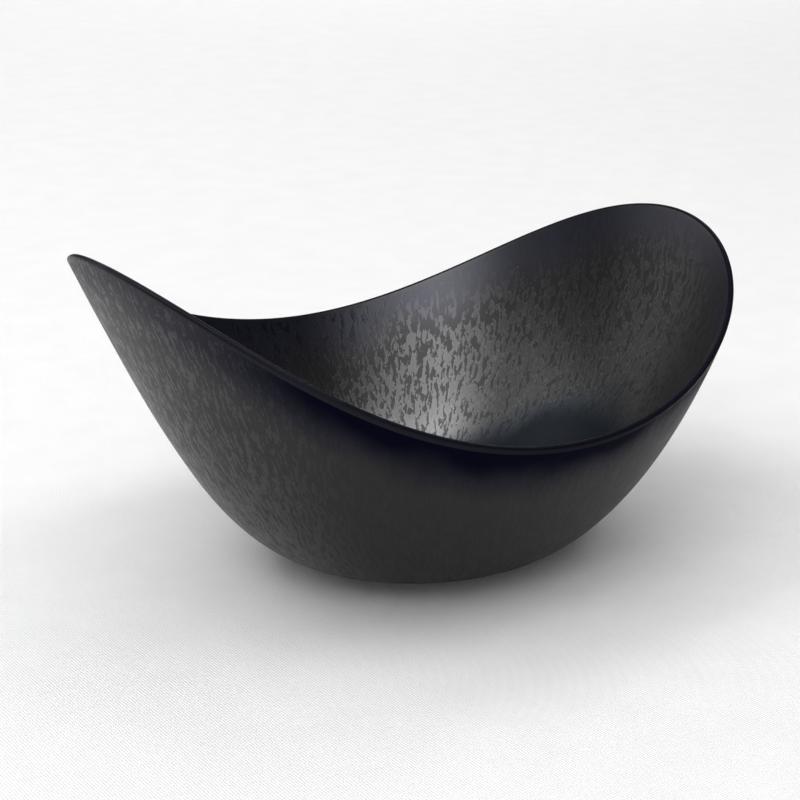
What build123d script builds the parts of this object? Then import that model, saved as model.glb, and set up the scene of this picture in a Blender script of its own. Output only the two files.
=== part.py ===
"""Stoneware bowl with a saddle rim: oval in plan, and swept up into a raised tip at each end.

The fired clay is a thin shell that stands on a luted foot ring and ends in a rounded lip. A dark
glaze coats the shell outside, inside and in the well of the foot, and the ring is left bare. Each
coat is a solid of its own, which meets the clay face to face.

Frame: millimetres, +Z up, X along the oval. The origin is the centre of the foot, where it rests.
"""

import os
from math import cos, pi, sin, sqrt

from build123d import *

# Size of the whole: the half length is the unit in which the curves below are drawn.
half_length = 140.0
foot_height = 4.0

# Half axes of the outer oval: its size at the base, how fast it flares and how it draws in.
base_half_length = 45.4
base_half_width = 43.1
long_axis = (base_half_length, 122.0, -26.1)
short_axis = (base_half_width, 74.4, 3.6)

# Shape of the oval: its centre drifts along X on the way up, its ends fill out and grow unequal.
centre_drift = 7.6
centre_return = -13.9
base_fullness = -0.028
fullness_rise = 0.254
end_difference = -0.15

# Rim line in side view: lowest height above the base, then the powers of x / half_length.
rim_low = 71.3
rim_terms = (-5.0, 53.5, 2.7, 6.0)

# Clay wall, glaze coat and lip.
lip_wall = 1.7
base_wall = 6.0
glaze = 0.35
lip_radius = 0.9
lip_band = 2.5

# Foot ring.
foot_outer_radius = 36.0
foot_inner_radius = 30.5
foot_edge_radius = 1.2

# Extent of the lofts and of the block that trims them, and how finely the curves are drawn.
loft_height = 170.0
loft_sections = 16
oval_points = 28
trim_inward = 8.0
trim_outward = 50.0
rim_points = 36
seam_turn = 0.9


def outer_half_axis(axis, height):
    """Half axis of the outer oval at a height above the base."""
    base, flare, draw_in = axis
    rise = height / half_length
    return base + flare * sqrt(rise) + draw_in * rise


def outer_slope(axis, height):
    """How fast that half axis grows with height."""
    _, flare, draw_in = axis
    rise = height / half_length
    return (flare / (2 * sqrt(rise)) + draw_in) / half_length


def depth_below_glaze(coats, clay, height):
    """How far in from the outer face a surface lies: some coats of glaze, and perhaps the clay."""
    if not clay:
        return coats * glaze
    taper = max(0.0, 1 - height / rim_low) ** 2
    return coats * glaze + lip_wall + (base_wall - lip_wall) * taper


def inner_half_axis(axis, coats, clay, height):
    """Half axis, at a height, of the surface that lies that far in, square to the outer face."""
    low, high = 0.0, height
    for _ in range(50):
        foothold = (low + high) / 2
        slope = outer_slope(axis, foothold)
        depth = depth_below_glaze(coats, clay, foothold)
        if foothold + depth * slope / sqrt(1 + slope**2) < height:
            low = foothold
        else:
            high = foothold
    return outer_half_axis(axis, foothold) - depth / sqrt(1 + slope**2)


def oval_point(turn, half_long, half_wide, height):
    """The point of an oval at an angle round it and a height above the base."""
    rise = height / half_length
    centre = centre_drift * rise + centre_return * rise**2
    fullness = (base_fullness + fullness_rise * rise) * cos(turn) ** 2
    skew = end_difference * rise * cos(turn) ** 3
    across = half_wide * sin(turn) * (1 + fullness + skew)
    return Vector(centre + half_long * cos(turn), across, foot_height + height)


def form(coats, clay=False):
    """The solid within one surface of the wall, running up past the rim."""
    floor = depth_below_glaze(coats, clay, 0.0)
    with BuildPart() as solid:
        for i in range(loft_sections):
            share = i / (loft_sections - 1)
            height = floor + (loft_height - floor) * share**2
            half_long, half_wide = base_half_length, base_half_width
            if share > 0:
                half_long = inner_half_axis(long_axis, coats, clay, height)
                half_wide = inner_half_axis(short_axis, coats, clay, height)
            turns = [2 * pi * k / oval_points for k in range(oval_points)]
            outline = [oval_point(turn, half_long, half_wide, height) for turn in turns]
            with BuildSketch(Plane.XY.offset(foot_height + height)):
                with BuildLine():
                    Spline(*[(point.X, point.Y) for point in outline], periodic=True)
                make_face()
        loft()
    return solid.part


def rim_height(x):
    """Height of the rim line in side view, above the base."""
    share = x / half_length
    return rim_low + sum(term * share ** (i + 1) for i, term in enumerate(rim_terms))


def outer_point(turn, height):
    """The point of the outer face at an angle round it and a height above the base."""
    half_long = outer_half_axis(long_axis, height)
    half_wide = outer_half_axis(short_axis, height)
    return oval_point(turn, half_long, half_wide, height)


def height_at_rim(turn):
    """Height above the base at which the outer face meets the rim line."""
    low, high = 0.0, loft_height
    for _ in range(50):
        height = (low + high) / 2
        if height < rim_height(outer_point(turn, height).X):
            low = height
        else:
            high = height
    return height


def above_lip(drop=0.0):
    """All that lies above a cut made square to the wall, at the rim or some way down from it."""
    inner_line = []
    outer_line = []
    for i in range(rim_points):
        turn = seam_turn + 2 * pi * i / rim_points
        height = height_at_rim(turn)
        before = outer_point(turn - 0.001, height_at_rim(turn - 0.001))
        after = outer_point(turn + 0.001, height_at_rim(turn + 0.001))
        along_rim = after - before
        up_wall = outer_point(turn, height + 0.01) - outer_point(turn, height)
        outward = along_rim.cross(up_wall).normalized()
        upward = outward.cross(along_rim).normalized()
        start = outer_point(turn, height) - upward * drop
        inner_line.append(start - outward * trim_inward)
        outer_line.append(start + outward * trim_outward)
    inner_edge = Spline(*inner_line, periodic=True)
    outer_edge = Spline(*outer_line, periodic=True)
    cut = Face.make_surface_from_curves(inner_edge.edge(), outer_edge.edge())
    with BuildPart() as block:
        extrude(cut, amount=2 * loft_height, dir=(0, 0, 1))
    return block.part


def lip_edges(wall):
    """The long edges on both sides of a wall's cut top."""
    lowest = foot_height + rim_low - lip_band
    high_edges = [edge for edge in wall.edges() if edge.bounding_box().min.Z > lowest]
    return [edge for edge in high_edges if edge.length > 4 * lip_wall]


outer_form = form(0)
clay_outer_form = form(1)
clay_inner_form = form(1, clay=True)
inner_form = form(2, clay=True)
lip_zone = above_lip(lip_band)

# The clay shell up to the lip.
with BuildPart() as stoneware_body:
    add(clay_outer_form)
    add(clay_inner_form, mode=Mode.SUBTRACT)
    add(lip_zone, mode=Mode.SUBTRACT)

# The lip, a bead across clay and coats together, with both its edges rounded.
with BuildPart() as lip:
    add(outer_form)
    add(inner_form, mode=Mode.SUBTRACT)
    add(above_lip(), mode=Mode.SUBTRACT)
    fillet(lip_edges(lip), lip_radius)
    add(lip_zone, mode=Mode.INTERSECT)

# The coat outside, which stops at the foot ring.
with BuildPart() as outer_glaze:
    add(outer_form)
    add(clay_outer_form, mode=Mode.SUBTRACT)
    add(lip_zone, mode=Mode.SUBTRACT)
    with BuildSketch(Plane.XY.offset(foot_height)):
        Circle(foot_outer_radius)
    extrude(amount=glaze, mode=Mode.SUBTRACT)

# The coat inside.
with BuildPart() as inner_glaze:
    add(clay_inner_form)
    add(inner_form, mode=Mode.SUBTRACT)
    add(lip_zone, mode=Mode.SUBTRACT)

# The bare ring that it stands on, luted to the clay of the shell's underside.
with BuildPart() as foot_ring:
    with BuildSketch():
        Circle(foot_outer_radius)
        Circle(foot_inner_radius, mode=Mode.SUBTRACT)
    extrude(amount=foot_height + glaze)
    fillet(foot_ring.edges().group_by(Axis.Z)[0], foot_edge_radius)

# The disc of glaze in the well of the foot.
with BuildPart() as foot_well_glaze:
    with BuildSketch(Plane.XY.offset(foot_height)):
        Circle(foot_inner_radius)
    extrude(amount=glaze)

stoneware_body.part.label = "stoneware_body"
foot_ring.part.label = "foot_ring"
lip.part.label = "lip"
outer_glaze.part.label = "outer_glaze"
inner_glaze.part.label = "inner_glaze"
foot_well_glaze.part.label = "foot_well_glaze"

os.makedirs("parts", exist_ok=True)
export_step(stoneware_body.part, "parts/stoneware_body.step")
export_step(foot_ring.part, "parts/foot_ring.step")
export_step(lip.part, "parts/lip.step")
export_step(outer_glaze.part, "parts/outer_glaze.step")
export_step(inner_glaze.part, "parts/inner_glaze.step")
export_step(foot_well_glaze.part, "parts/foot_well_glaze.step")
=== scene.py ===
"""Glazed stoneware bowl with a saddle rim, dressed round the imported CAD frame. Metres."""

from math import cos, pi, radians, sin

import bpy
import numpy as np
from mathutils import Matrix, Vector


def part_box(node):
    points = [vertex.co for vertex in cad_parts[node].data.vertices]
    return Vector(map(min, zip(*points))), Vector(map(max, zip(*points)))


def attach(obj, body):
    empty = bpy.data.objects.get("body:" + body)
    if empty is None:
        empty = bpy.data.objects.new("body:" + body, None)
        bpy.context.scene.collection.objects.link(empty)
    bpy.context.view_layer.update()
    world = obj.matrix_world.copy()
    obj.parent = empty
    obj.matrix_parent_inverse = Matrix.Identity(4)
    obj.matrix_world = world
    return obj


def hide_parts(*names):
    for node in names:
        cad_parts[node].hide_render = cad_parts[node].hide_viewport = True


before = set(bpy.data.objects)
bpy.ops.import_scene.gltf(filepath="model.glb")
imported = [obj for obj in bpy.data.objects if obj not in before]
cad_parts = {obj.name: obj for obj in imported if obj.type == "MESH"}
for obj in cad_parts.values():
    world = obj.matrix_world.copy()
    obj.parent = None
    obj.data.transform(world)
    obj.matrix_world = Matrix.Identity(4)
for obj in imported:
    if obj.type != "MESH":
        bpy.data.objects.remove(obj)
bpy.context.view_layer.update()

# The bowl's form, as in the CAD source. The wall's thicknesses count the clay and both coats.
UNIT = 0.140
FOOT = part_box("outer_glaze")[0][2]
LONG_AXIS = (0.0454, 0.1220, -0.0261)
SHORT_AXIS = (0.0431, 0.0744, 0.0036)
CENTRE_DRIFT = (0.0076, -0.0139)
FULLNESS = (-0.028, 0.254)
END_DIFFERENCE = -0.15
RIM_LOW = 0.0713
RIM_TERMS = (-0.0050, 0.0535, 0.0027, 0.0060)
LIP_WALL = 0.0024
BASE_WALL = 0.0067
COAT = 0.00035
LIP_BAND = 0.0025
LIP_RADIUS = 0.0009
RING_OUTER = 0.036
RING_INNER = 0.0305
RING_EDGE = 0.0012

# How thick the coats on the wall are drawn, and how deep under their faces the clay starts.
SKIN = 0.0003
CLAY_DEPTH = 0.00032

# The unevenness of the coats' faces, and the distance below the lip over which it sets in.
UNEVENNESS = 0.00007
EVEN_BAND = 0.012

# Mesh density, and how far out from a disc's centre its first row lies, counted in rows.
COLUMNS = 480
WALL_ROWS = 84
UNDER_ROWS = 6
FLOOR_ROWS = 22
CLAY_ROWS = 8
WELL_ROWS = 14
ARC_STEPS = 6
FIRST_ROW = 0.4


# ---------------------------------------------------------------- shape

def outer_surface(turn, root):
    """Points of the outer face. The height above the base is root squared."""
    height = root**2
    rise = height / UNIT
    c, s = np.cos(turn), np.sin(turn)
    half_long = LONG_AXIS[0] + LONG_AXIS[1] * root / np.sqrt(UNIT) + LONG_AXIS[2] * rise
    half_wide = SHORT_AXIS[0] + SHORT_AXIS[1] * root / np.sqrt(UNIT) + SHORT_AXIS[2] * rise
    full = 1 + (FULLNESS[0] + FULLNESS[1] * rise) * c**2 + END_DIFFERENCE * rise * c**3
    x = CENTRE_DRIFT[0] * rise + CENTRE_DRIFT[1] * rise**2 + half_long * c
    return np.stack([x, half_wide * s * full, height + FOOT + 0 * c], -1)


def rim_height(x):
    """Height of the rim line in side view, above the base."""
    share = x / UNIT
    return RIM_LOW + sum(term * share ** (i + 1) for i, term in enumerate(RIM_TERMS))


def root_at_rim(turn):
    """Square root of the height at which the outer face meets the rim line."""
    low, high = np.zeros_like(turn), np.full_like(turn, 0.42)
    for _ in range(50):
        middle = (low + high) / 2
        below = middle**2 < rim_height(outer_surface(turn, middle)[..., 0])
        low, high = np.where(below, middle, low), np.where(below, high, middle)
    return middle


def unit_rows(vectors):
    """The same directions at unit length."""
    return vectors / np.linalg.norm(vectors, axis=-1, keepdims=True)


def outward(turn, root):
    """Unit normals of the outer face."""
    step = 1e-4
    around = outer_surface(turn + step, root) - outer_surface(turn - step, root)
    upward = outer_surface(turn, root + step) - outer_surface(turn, root - step)
    return unit_rows(np.cross(around, upward))


def wall_thickness(height):
    """Thickness of clay and coats together."""
    return LIP_WALL + (BASE_WALL - LIP_WALL) * np.maximum(0, 1 - height / RIM_LOW) ** 2


turns = np.arange(COLUMNS) * 2 * pi / COLUMNS
rim_root = root_at_rim(turns)
rim_line = outer_surface(turns, rim_root)

# The lower edge of the lip lies one lip band down the wall, measured square to the rim. A small
# drop down the wall shows how far that is in height.
small_drop = 0.001
rim_run = np.roll(rim_line, -1, 0) - np.roll(rim_line, 1, 0)
down_step = outer_surface(turns, np.sqrt(rim_root**2 - small_drop)) - rim_line
lean = np.linalg.norm(np.cross(unit_rows(rim_run), down_step), axis=-1)
lip_root = np.sqrt(rim_root**2 - small_drop * LIP_BAND / lean)

# Even distance round the rim, and distance down the wall, which carry the glaze's pattern.
rim_steps = np.linalg.norm(np.roll(rim_line, -1, 0) - rim_line, axis=-1)
rim_length = rim_steps.sum()
rim_angle = (np.cumsum(rim_steps) - rim_steps) * 2 * pi / rim_length
flow_radius = rim_length / (2 * pi)


def flow(down):
    """Pattern coordinates: round the rim on a cylinder, and down the wall along its axis."""
    across = np.stack([np.cos(rim_angle), np.sin(rim_angle)], -1) * flow_radius
    return np.concatenate([across, np.broadcast_to(down, turns.shape)[:, None]], -1)


rng = np.random.default_rng(7)
waves = [(rng.integers(2, 12), rng.uniform(20, 120), rng.uniform(0, 2 * pi)) for _ in range(14)]


def undulation(down):
    """The slight unevenness of a hand-finished wall, fading out at the lip."""
    total = sum(np.cos(k * rim_angle + f * down + phase) for k, f, phase in waves)
    fade = np.clip((down - LIP_BAND) / EVEN_BAND, 0, 1)
    return UNEVENNESS * fade * total / np.sqrt(len(waves))


# Rows of points up the wall, and how far down from the rim each lies.
wall_roots = [lip_root * share for share in np.linspace(0, 1, WALL_ROWS)]
wall_rows = [outer_surface(turns, root) for root in wall_roots]
wall_normals = [outward(turns, np.maximum(root, 2e-4)) for root in wall_roots]
wall_down = [np.full(COLUMNS, LIP_BAND)]
for upper, lower in zip(wall_rows[:0:-1], wall_rows[-2::-1]):
    wall_down.insert(0, wall_down[0] + np.linalg.norm(upper - lower, axis=-1))


def face(within, depth=0.0, uneven=False):
    """Rows of the wall's outer face or, within, of its inner one, or some way under either."""
    rows = []
    for row, normal, root, down in zip(wall_rows, wall_normals, wall_roots, wall_down):
        under = depth - undulation(down) * uneven
        inward = wall_thickness(root**2) - under if within else under
        rows.append(row - normal * inward[:, None])
    return rows


def circle(radius, height):
    """A row of points on a circle round the middle of the foot."""
    return np.stack([np.cos(turns) * radius, np.sin(turns) * radius, 0 * turns + height], -1)


def level_rows(inner, outer, shares, height):
    """Rows at one height, some shares of the way from one row out to another."""
    rows = [inner + (outer - inner) * share for share in shares]
    for row in rows:
        row[:, 2] = height
    return rows


def disc_shares(count):
    """Shares of the way out from the centre at which a disc's rows lie, short of its edge."""
    return [(i + FIRST_ROW) / count for i in range(count)]


def disc_rows(edge, height, count):
    """Level rows that fill an edge row, all but the edge itself."""
    return level_rows(circle(0.0, height), edge, disc_shares(count), height)


# ---------------------------------------------------------------- meshes

def build(name, rows, downs, loop):
    """A closed mesh from rows of points round the bowl, which close on themselves or in caps."""
    points = np.concatenate(rows)
    flows = np.concatenate([flow(down) for down in downs])
    faces = []
    count = len(rows)
    for i in range(count if loop else count - 1):
        a, b = i * COLUMNS, ((i + 1) % count) * COLUMNS
        for j in range(COLUMNS):
            k = (j + 1) % COLUMNS
            faces.append((a + j, a + k, b + k, b + j))
    if not loop:
        for i, flip in ((0, True), (count - 1, False)):
            centre = len(points)
            points = np.vstack([points, rows[i].mean(0)])
            flows = np.vstack([flows, [0, 0, downs[i].mean()]])
            for j in range(COLUMNS):
                pair = (i * COLUMNS + j, i * COLUMNS + (j + 1) % COLUMNS)
                faces.append((*(pair[::-1] if flip else pair), centre))
    mesh = bpy.data.meshes.new(name)
    mesh.from_pydata(points.tolist(), [], faces)
    mesh.attributes.new("flow", "FLOAT_VECTOR", "POINT").data.foreach_set("vector", flows.ravel())
    mesh.polygons.foreach_set("use_smooth", [True] * len(faces))
    mesh.validate()
    signed_volume = sum(p.center.dot(p.normal) * p.area for p in mesh.polygons)
    if signed_volume < 0:
        mesh.flip_normals()
    mesh.set_sharp_from_angle(angle=radians(50))
    obj = bpy.data.objects.new(name, mesh)
    bpy.context.scene.collection.objects.link(obj)
    return obj


def piece(name, node, material, rows, downs, loop):
    """A piece that stands for a CAD node, from its rows and how far down the wall each lies."""
    obj = build(name, rows, downs, loop)
    obj.data.materials.append(material)
    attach(obj, "root")
    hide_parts(node)


def shell(name, node, material, front, back, downs, loop=False):
    """A piece between two faces whose rows run the same way."""
    piece(name, node, material, front + back[::-1], downs + downs[::-1], loop)


# ---------------------------------------------------------------- materials

class Nodes:
    """A short way to write a node tree."""

    def __init__(self, tree):
        self.tree = tree
        tree.nodes.clear()

    def add(self, kind, inputs=(), **settings):
        node = self.tree.nodes.new(kind)
        for key, value in settings.items():
            setattr(node, key, value)
        for key, value in dict(inputs).items():
            if isinstance(value, bpy.types.NodeSocket):
                self.tree.links.new(value, node.inputs[key])
            else:
                node.inputs[key].default_value = value
        return node

    def math(self, operation, a, b=0.0, c=0.0):
        return self.add("ShaderNodeMath", {0: a, 1: b, 2: c}, operation=operation).outputs[0]

    def times(self, a, b):
        return self.math("MULTIPLY", a, b)

    def linear(self, value, factor, start):
        return self.math("MULTIPLY_ADD", value, factor, start)

    def span(self, value, low, high, to_low=0.0, to_high=1.0):
        inputs = {0: value, 1: low, 2: high, 3: to_low, 4: to_high}
        return self.add("ShaderNodeMapRange", inputs, interpolation_type="SMOOTHSTEP").outputs[0]

    def noise(self, vector, scale, detail=2.0):
        inputs = {"Vector": vector, "Scale": scale, "Detail": detail}
        return self.add("ShaderNodeTexNoise", inputs).outputs["Fac"]

    def stretch(self, vector, scale):
        return self.add("ShaderNodeMapping", {"Vector": vector, "Scale": scale}).outputs[0]

    def mix(self, factor, a, b):
        inputs = {0: factor, 6: a, 7: b}
        return self.add("ShaderNodeMix", inputs, data_type="RGBA").outputs[2]

    def blend(self, factor, a, b):
        return self.add("ShaderNodeMix", {0: factor, 2: a, 3: b}).outputs[0]

    def bump(self, height, distance, strength=1.0, normal=None):
        inputs = {"Height": height, "Distance": distance, "Strength": strength}
        if normal is not None:
            inputs["Normal"] = normal
        return self.add("ShaderNodeBump", inputs).outputs[0]

    def flow(self):
        """The pattern coordinates, whole and each of the three."""
        where = self.add("ShaderNodeAttribute", attribute_name="flow").outputs["Vector"]
        return where, *self.add("ShaderNodeSeparateXYZ", {0: where}).outputs

    def finish(self, **inputs):
        shader = self.add("ShaderNodeBsdfPrincipled", inputs)
        self.add("ShaderNodeOutputMaterial", {"Surface": shader.outputs[0]})


def new_material(name):
    material = bpy.data.materials.new(name)
    material.use_nodes = True
    return material, Nodes(material.node_tree)


def grey(value, tint=(1.0, 1.0, 1.0)):
    """A colour from its brightness and a tint."""
    return (value * tint[0], value * tint[1], value * tint[2], 1.0)


# Tints of the glaze, near the lip and towards the bottom inside.
NAVY = (0.8, 0.95, 4.6)
LOWER_INSIDE_TINT = (0.78, 0.96, 1.22)

# Zones of the glaze round the rim: the pattern's x is lowest at the left tip, highest at the right. The right
# end has fewer plates; inside, it and the left side have painted shade as duller sheen, and outside the left
# flank and tip have painted sheen.
CALM_SHADED_END = (0.072, 0.108)
SHADED_SIDE = (0.052, 0.005)
LEFT_FLANK = (-0.08, -0.125)
LEFT_TIP = (-0.095, -0.128)

# Zones of the glaze by distance down the wall, and how far they drift up and down.
NAVY_BAND = (0.004, 0.032)
LOWER_INSIDE_START = (0.078, 0.105)
DRIFT = 0.03

# The sheen of the glaze inside at the lip, and the index of refraction inside and outside. The same glaze
# gets more sheen and a higher index inside than outside: painted sheen.
LIP_SHEEN = 0.50
INNER_INDEX = 2.2
OUTER_INDEX = 1.5


def inner_sheen(n, x):
    """Share of its full sheen that the glaze inside keeps: less at the right end and at the left, as painted
    shade.
    """
    right_end_shade = n.times(n.span(x, *CALM_SHADED_END), 0.7)
    shaded = n.times(n.span(x, *SHADED_SIDE), 0.78)
    return n.math("SUBTRACT", 1.0, n.math("MAXIMUM", right_end_shade, shaded))


def glaze(name, outside, cover, run_scale, run_length, plate_gloss, ground_gloss, lip_gloss, lip_tint, index):
    """Near-black satin glaze: plates that run down the wall in the sheen, and navy near the lip."""
    material, n = new_material(name)
    where, x, _, down = n.flow()
    depth = n.math("ADD", down, n.linear(n.noise(where, 22.0), DRIFT, -DRIFT / 2))

    # Plates lie where warped noise is high, and cover more of the wall lower down.
    warp = n.add("ShaderNodeTexNoise", {"Vector": where, "Scale": 420.0, "Detail": 1.0}).outputs[1]
    shift = n.add("ShaderNodeVectorMath", {0: warp, 3: 0.0024}, operation="SCALE").outputs[0]
    moved = n.add("ShaderNodeVectorMath", {0: where, 1: shift}, operation="ADD").outputs[0]
    runs = n.noise(n.stretch(moved, (1.0, 1.0, run_length)), run_scale)
    level = n.math("ADD", runs, n.span(depth, *cover))
    plates = n.span(level, 0.495, 0.525)
    plates = n.times(plates, n.linear(n.span(x, *CALM_SHADED_END), -0.7, 1.0))
    edges = n.times(n.span(level, 0.475, 0.50), n.span(level, 0.56, 0.525))
    navy = n.span(depth, *NAVY_BAND, 1.0, 0.0)

    # Outside, the plates show best on the left flank, and the navy is weaker at the left tip, so the tip
    # keeps more sheen: painted sheen.
    if outside:
        flank = n.span(x, *LEFT_FLANK)
        shown = n.linear(flank, 0.6, 0.4)
        plates = n.times(plates, shown)
        edges = n.times(edges, shown)
        navy = n.times(navy, n.linear(n.span(x, *LEFT_TIP), -0.45, 1.0))

    colour = n.mix(n.noise(where, 60.0, 3.0), grey(0.0065), grey(0.0105))
    tint = grey(1.0)
    gloss = n.blend(plates, ground_gloss, plate_gloss)
    gloss = n.blend(n.times(edges, 0.5), gloss, plate_gloss * 1.25)

    # Outside, the left flank gets extra sheen, a painted glint; inside, the glaze turns bluer and duller
    # towards the bottom.
    if outside:
        # Extra sheen on the left flank outside: painted glint.
        gloss = n.linear(flank, n.linear(plates, 0.16, 0.05), gloss)
    else:
        # Inside, the glaze turns bluer and duller towards the bottom.
        lower_inside = n.span(depth, *LOWER_INSIDE_START)
        colour = n.mix(lower_inside, colour, grey(0.0075, LOWER_INSIDE_TINT))
        tint = n.mix(lower_inside, tint, grey(1.0, LOWER_INSIDE_TINT))
        gloss = n.blend(lower_inside, gloss, ground_gloss * 0.3)
    colour = n.mix(navy, colour, grey(0.0015, NAVY))
    tint = n.mix(navy, tint, grey(1.0, lip_tint))
    gloss = n.blend(navy, gloss, lip_gloss)
    if not outside:
        gloss = n.times(gloss, inner_sheen(n, x))

    # Sparse pits, the plates' own relief, fine runs and a fine grain.
    fine_runs = n.noise(n.stretch(where, (1.0, 1.0, 0.10)), 900.0)
    rough = n.math("ADD", n.blend(plates, 0.45, 0.34), n.linear(fine_runs, 0.12, -0.06))
    specks = n.add("ShaderNodeTexVoronoi", {"Vector": where, "Scale": 62.0})
    normal = n.bump(n.span(specks.outputs["Distance"], 0.02, 0.045), 0.00025)
    normal = n.bump(plates, 0.00003, 1.0, normal)
    normal = n.bump(fine_runs, 0.00005, 0.6, normal)
    normal = n.bump(n.noise(where, 2600.0, 1.0), 0.00002, 0.5, normal)
    inputs = {"Base Color": colour, "Roughness": rough, "Specular IOR Level": gloss}
    inputs.update({"Specular Tint": tint, "IOR": index, "Normal": normal})
    n.finish(**inputs)
    return material


def lip_black():
    """The blacker bead of the lip. Its inner side has the sheen of the glaze inside."""
    material, n = new_material("lip_black")
    where, x, _, down = n.flow()
    runs = n.noise(where, 420.0, 3.0)
    within = n.span(down, LIP_WALL + 0.0004, LIP_WALL + 0.0010)
    # Outside, the lip is glossier towards the left: a painted highlight along the near left lip.
    outer_gloss = n.blend(n.span(x, 0.02, -0.09), 0.03, 0.11)
    gloss = n.blend(within, outer_gloss, n.times(inner_sheen(n, x), LIP_SHEEN))
    colour = n.mix(runs, grey(0.003), grey(0.0025, NAVY))
    rough = n.blend(within, n.span(runs, 0.3, 0.7, 0.30, 0.46), 0.42)
    normal = n.bump(n.noise(where, 70.0), 0.0005, 0.6)
    normal = n.bump(runs, 0.00008, 0.8, normal)
    inputs = {"Base Color": colour, "Roughness": rough, "Specular IOR Level": gloss}
    inputs.update({"IOR": n.blend(within, OUTER_INDEX, INNER_INDEX), "Normal": normal})
    n.finish(**inputs)
    return material


def bare_clay():
    """Speckled buff clay with fine throwing rings."""
    material, n = new_material("bare_clay")
    where = n.add("ShaderNodeTexCoord").outputs["Object"]
    radius = n.add("ShaderNodeVectorMath", {0: where}, operation="LENGTH").outputs["Value"]
    speckle = n.noise(where, 900.0, 4.0)
    rings = n.math("SINE", n.times(radius, 9000.0))
    colour = n.mix(speckle, grey(0.17, (1.15, 0.92, 0.72)), grey(0.34, (1.1, 0.94, 0.76)))
    normal = n.bump(rings, 0.00004, 0.5)
    normal = n.bump(speckle, 0.0002, 0.6, normal)
    n.finish(**{"Base Color": colour, "Roughness": 0.86, "Specular IOR Level": 0.2, "Normal": normal})
    return material


def cloth():
    """Plain pale cloth with a fine weave."""
    threads = 3000.0
    material, n = new_material("pale_cloth")
    where = n.add("ShaderNodeTexCoord").outputs["Object"]
    x, y, _ = n.add("ShaderNodeSeparateXYZ", {0: where}).outputs
    warp = n.math("SINE", n.times(n.math("ADD", x, y), threads))
    weft = n.math("SINE", n.times(n.math("SUBTRACT", x, y), threads))
    weave = n.times(warp, weft)
    tone = n.math("ADD", weave, n.times(n.noise(where, 40.0, 3.0), 0.6))
    colour = n.mix(n.span(tone, -1.0, 1.6), grey(0.76, (1.0, 1.0, 1.01)), grey(0.97))
    normal = n.bump(weave, 0.0002, 0.8)
    n.finish(**{"Base Color": colour, "Roughness": 0.95, "Specular IOR Level": 0.1, "Normal": normal})
    return material


outer_coat = glaze(
    "outer_coat",
    outside=True,
    cover=(0.03, 0.12, -0.06, 0.04),
    run_scale=640.0,
    run_length=0.22,
    plate_gloss=0.245,
    ground_gloss=0.22,
    lip_gloss=0.01,
    lip_tint=(0.9, 0.9, 1.6),
    index=OUTER_INDEX,
)
# The same glaze inside, with far more sheen than outside: painted sheen.
inner_coat = glaze(
    "inner_coat",
    outside=False,
    cover=(0.006, 0.065, -0.05, 0.04),
    run_scale=460.0,
    run_length=0.36,
    plate_gloss=0.66,
    ground_gloss=0.26,
    lip_gloss=LIP_SHEEN,
    lip_tint=(0.98, 0.98, 1.14),
    index=INNER_INDEX,
)
black = lip_black()
clay = bare_clay()

# ---------------------------------------------------------------- pieces

base_edge = wall_rows[0]
base_down = wall_down[0]
floor_height = FOOT + BASE_WALL
quarter = [pi / 2 * i / ARC_STEPS for i in range(ARC_STEPS + 1)]

# The coat outside, which runs in under the bowl to the foot ring.
ring_edge = circle(RING_OUTER, FOOT)
under_shares = [i / UNDER_ROWS for i in range(UNDER_ROWS)]
front = level_rows(ring_edge, base_edge, under_shares, FOOT) + face(within=False, uneven=True)
back = level_rows(ring_edge, base_edge, under_shares, FOOT + SKIN) + face(within=False, depth=SKIN)
downs = [base_down + 0.010 * (1 - share) for share in under_shares] + wall_down
shell("outer_coat", "outer_glaze", outer_coat, front, back, downs, loop=True)

# The coat inside, with the bowl's floor.
front = disc_rows(base_edge, floor_height, FLOOR_ROWS) + face(within=True, uneven=True)
back = disc_rows(base_edge, floor_height - SKIN, FLOOR_ROWS) + face(within=True, depth=SKIN)
downs = [base_down + 0.045 * (1 - share) for share in disc_shares(FLOOR_ROWS)] + wall_down
shell("inner_coat", "inner_glaze", inner_coat, front, back, downs)

# The clay between the coats.
front = disc_rows(base_edge, FOOT + CLAY_DEPTH, CLAY_ROWS) + face(within=False, depth=CLAY_DEPTH)
back = disc_rows(base_edge, floor_height - CLAY_DEPTH, CLAY_ROWS) + face(within=True, depth=CLAY_DEPTH)
downs = [base_down] * CLAY_ROWS + wall_down
shell("clay_shell", "stoneware_body", clay, front, back, downs)

# The lip's section, as depth into the wall and drop: up one side, over both rounded edges and
# down the other.
section = [(0.0, LIP_BAND), (0.0, (LIP_BAND + LIP_RADIUS) / 2)]
section += [(LIP_RADIUS * (1 - cos(a)), LIP_RADIUS * (1 - sin(a))) for a in quarter]
section += [(LIP_WALL / 2, 0.0)]
section += [(LIP_WALL - depth, drop) for depth, drop in section[-2::-1]]
rim_normal = outward(turns, rim_root)
lip_normal = outward(turns, lip_root)
lip_rows = []
lip_downs = []
for depth, drop in section:
    share = drop / LIP_BAND
    root = np.sqrt(rim_root**2 - (rim_root**2 - lip_root**2) * share)
    normal = unit_rows(rim_normal * (1 - share) + lip_normal * share)
    lip_rows.append(outer_surface(turns, root) - normal * depth)
    lip_downs.append(np.full(COLUMNS, drop + depth))
piece("rounded_lip", "lip", black, lip_rows, lip_downs, loop=True)

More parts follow.
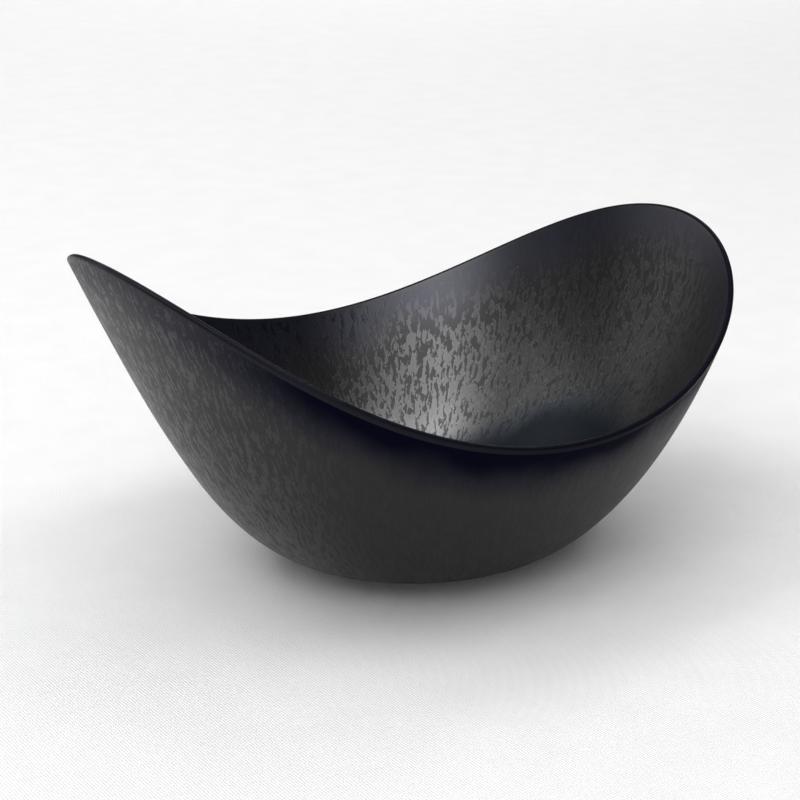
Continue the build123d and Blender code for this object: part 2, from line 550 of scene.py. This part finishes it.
# The foot ring, with softened edges where it stands.
ring_top = FOOT + COAT
profile = [(RING_OUTER, ring_top), (RING_OUTER, FOOT), (RING_OUTER, RING_EDGE * 1.5)]
profile += [(RING_OUTER - RING_EDGE * (1 - cos(a)), RING_EDGE * (1 - sin(a))) for a in quarter]
profile += [((RING_OUTER + RING_INNER) / 2, 0.0)]
profile += [(RING_INNER + RING_EDGE * (1 - cos(a)), RING_EDGE * (1 - sin(a))) for a in quarter[::-1]]
profile += [(RING_INNER, RING_EDGE * 1.5), (RING_INNER, FOOT), (RING_INNER, ring_top)]
ring_rows = [circle(radius, height) for radius, height in profile]
piece("bare_foot_ring", "foot_ring", clay, ring_rows, [base_down] * len(profile), loop=True)

# The glazed well inside the ring.
front = disc_rows(circle(RING_INNER, FOOT), FOOT, WELL_ROWS) + [circle(RING_INNER, FOOT)]
back = disc_rows(circle(RING_INNER, FOOT), ring_top, WELL_ROWS) + [circle(RING_INNER, ring_top)]
downs = [base_down + 0.01 + 0.03 * (1 - i / WELL_ROWS) for i in range(WELL_ROWS + 1)]
shell("well_coat", "foot_well_glaze", outer_coat, front, back, downs)

# ---------------------------------------------------------------- stage, light and camera

bpy.ops.mesh.primitive_plane_add(size=16.0, location=(0.0, 0.0, 0.0))
floor = bpy.context.object
floor.name = "pale_floor"
floor.data.materials.append(cloth())

world = bpy.context.scene.world or bpy.data.worlds.new("room")
bpy.context.scene.world = world
world.use_nodes = True
room = Nodes(world.node_tree)
background = room.add("ShaderNodeBackground", {"Color": (1.0, 1.0, 1.0, 1.0), "Strength": 0.03})
room.add("ShaderNodeOutputWorld", {"Surface": background.outputs[0]})

BOWL_MIDDLE = Vector((0, 0, 0.05))


def softbox(name, azimuth, elevation, distance, width, height, radiance):
    """A rectangular light that faces the bowl. Azimuth is measured from +X towards +Y."""
    light = bpy.data.lights.new(name, "AREA")
    light.shape = "RECTANGLE"
    light.size = width
    light.size_y = height
    light.energy = radiance * pi * width * height
    obj = bpy.data.objects.new(name, light)
    a, e = radians(azimuth), radians(elevation)
    away = Vector((cos(a) * cos(e), sin(a) * cos(e), sin(e)))
    obj.location = away * distance + BOWL_MIDDLE
    obj.rotation_euler = away.to_track_quat("Z", "Y").to_euler()
    bpy.context.scene.collection.objects.link(obj)
    return obj


softbox("front_window", -110, 34, 2.4, 1.9, 1.9, 1.35)
softbox("front_skirt", -106, 7, 2.4, 1.8, 0.5, 2.0)
softbox("front_left_top", -158, 46, 2.4, 1.6, 1.0, 2.8)
softbox("front_top", -127, 73, 2.6, 1.6, 1.2, 3.0)
softbox("back_top", 53, 63, 2.6, 1.6, 1.2, 1.7)
softbox("left_top", 143, 58, 2.6, 1.6, 1.2, 3.9)
softbox("right_top", -37, 58, 2.6, 1.6, 1.2, 2.4)
softbox("back_left_screen", 128, 18, 2.4, 2.2, 1.3, 1.6)

# One more hangs level over the floor behind the bowl.
far_light = softbox("far_floor_light", 53, 30, 3.0, 3.0, 1.2, 3.0)
far_light.location.z = 1.5
far_light.rotation_euler = (0.0, 0.0, radians(-37))

# The camera stands at the bowl's front left, and aims a little above and left of its middle.
AZIMUTH, ELEVATION = radians(-36.7), radians(20.95)
DISTANCE = 0.7656
LOOK_HEIGHT = 0.042
AIM_LEFT, AIM_UP = 0.0174, 0.0211
camera_way = Vector((sin(AZIMUTH) * cos(ELEVATION), -cos(AZIMUTH) * cos(ELEVATION), sin(ELEVATION)))
rightward = (-camera_way).cross(Vector((0, 0, 1))).normalized()
upward = rightward.cross(-camera_way)
aim = (-camera_way - AIM_LEFT * rightward + AIM_UP * upward).normalized()
camera_data = bpy.data.cameras.new("camera")
camera_data.sensor_width = 36.0
camera_data.lens = 83.03
camera = bpy.data.objects.new("camera", camera_data)
camera.location = camera_way * DISTANCE + Vector((0, 0, FOOT + LOOK_HEIGHT))
camera.rotation_euler = aim.to_track_quat("-Z", "Y").to_euler()
bpy.context.scene.collection.objects.link(camera)
bpy.context.scene.camera = camera
bpy.context.scene.view_settings.view_transform = "Standard"

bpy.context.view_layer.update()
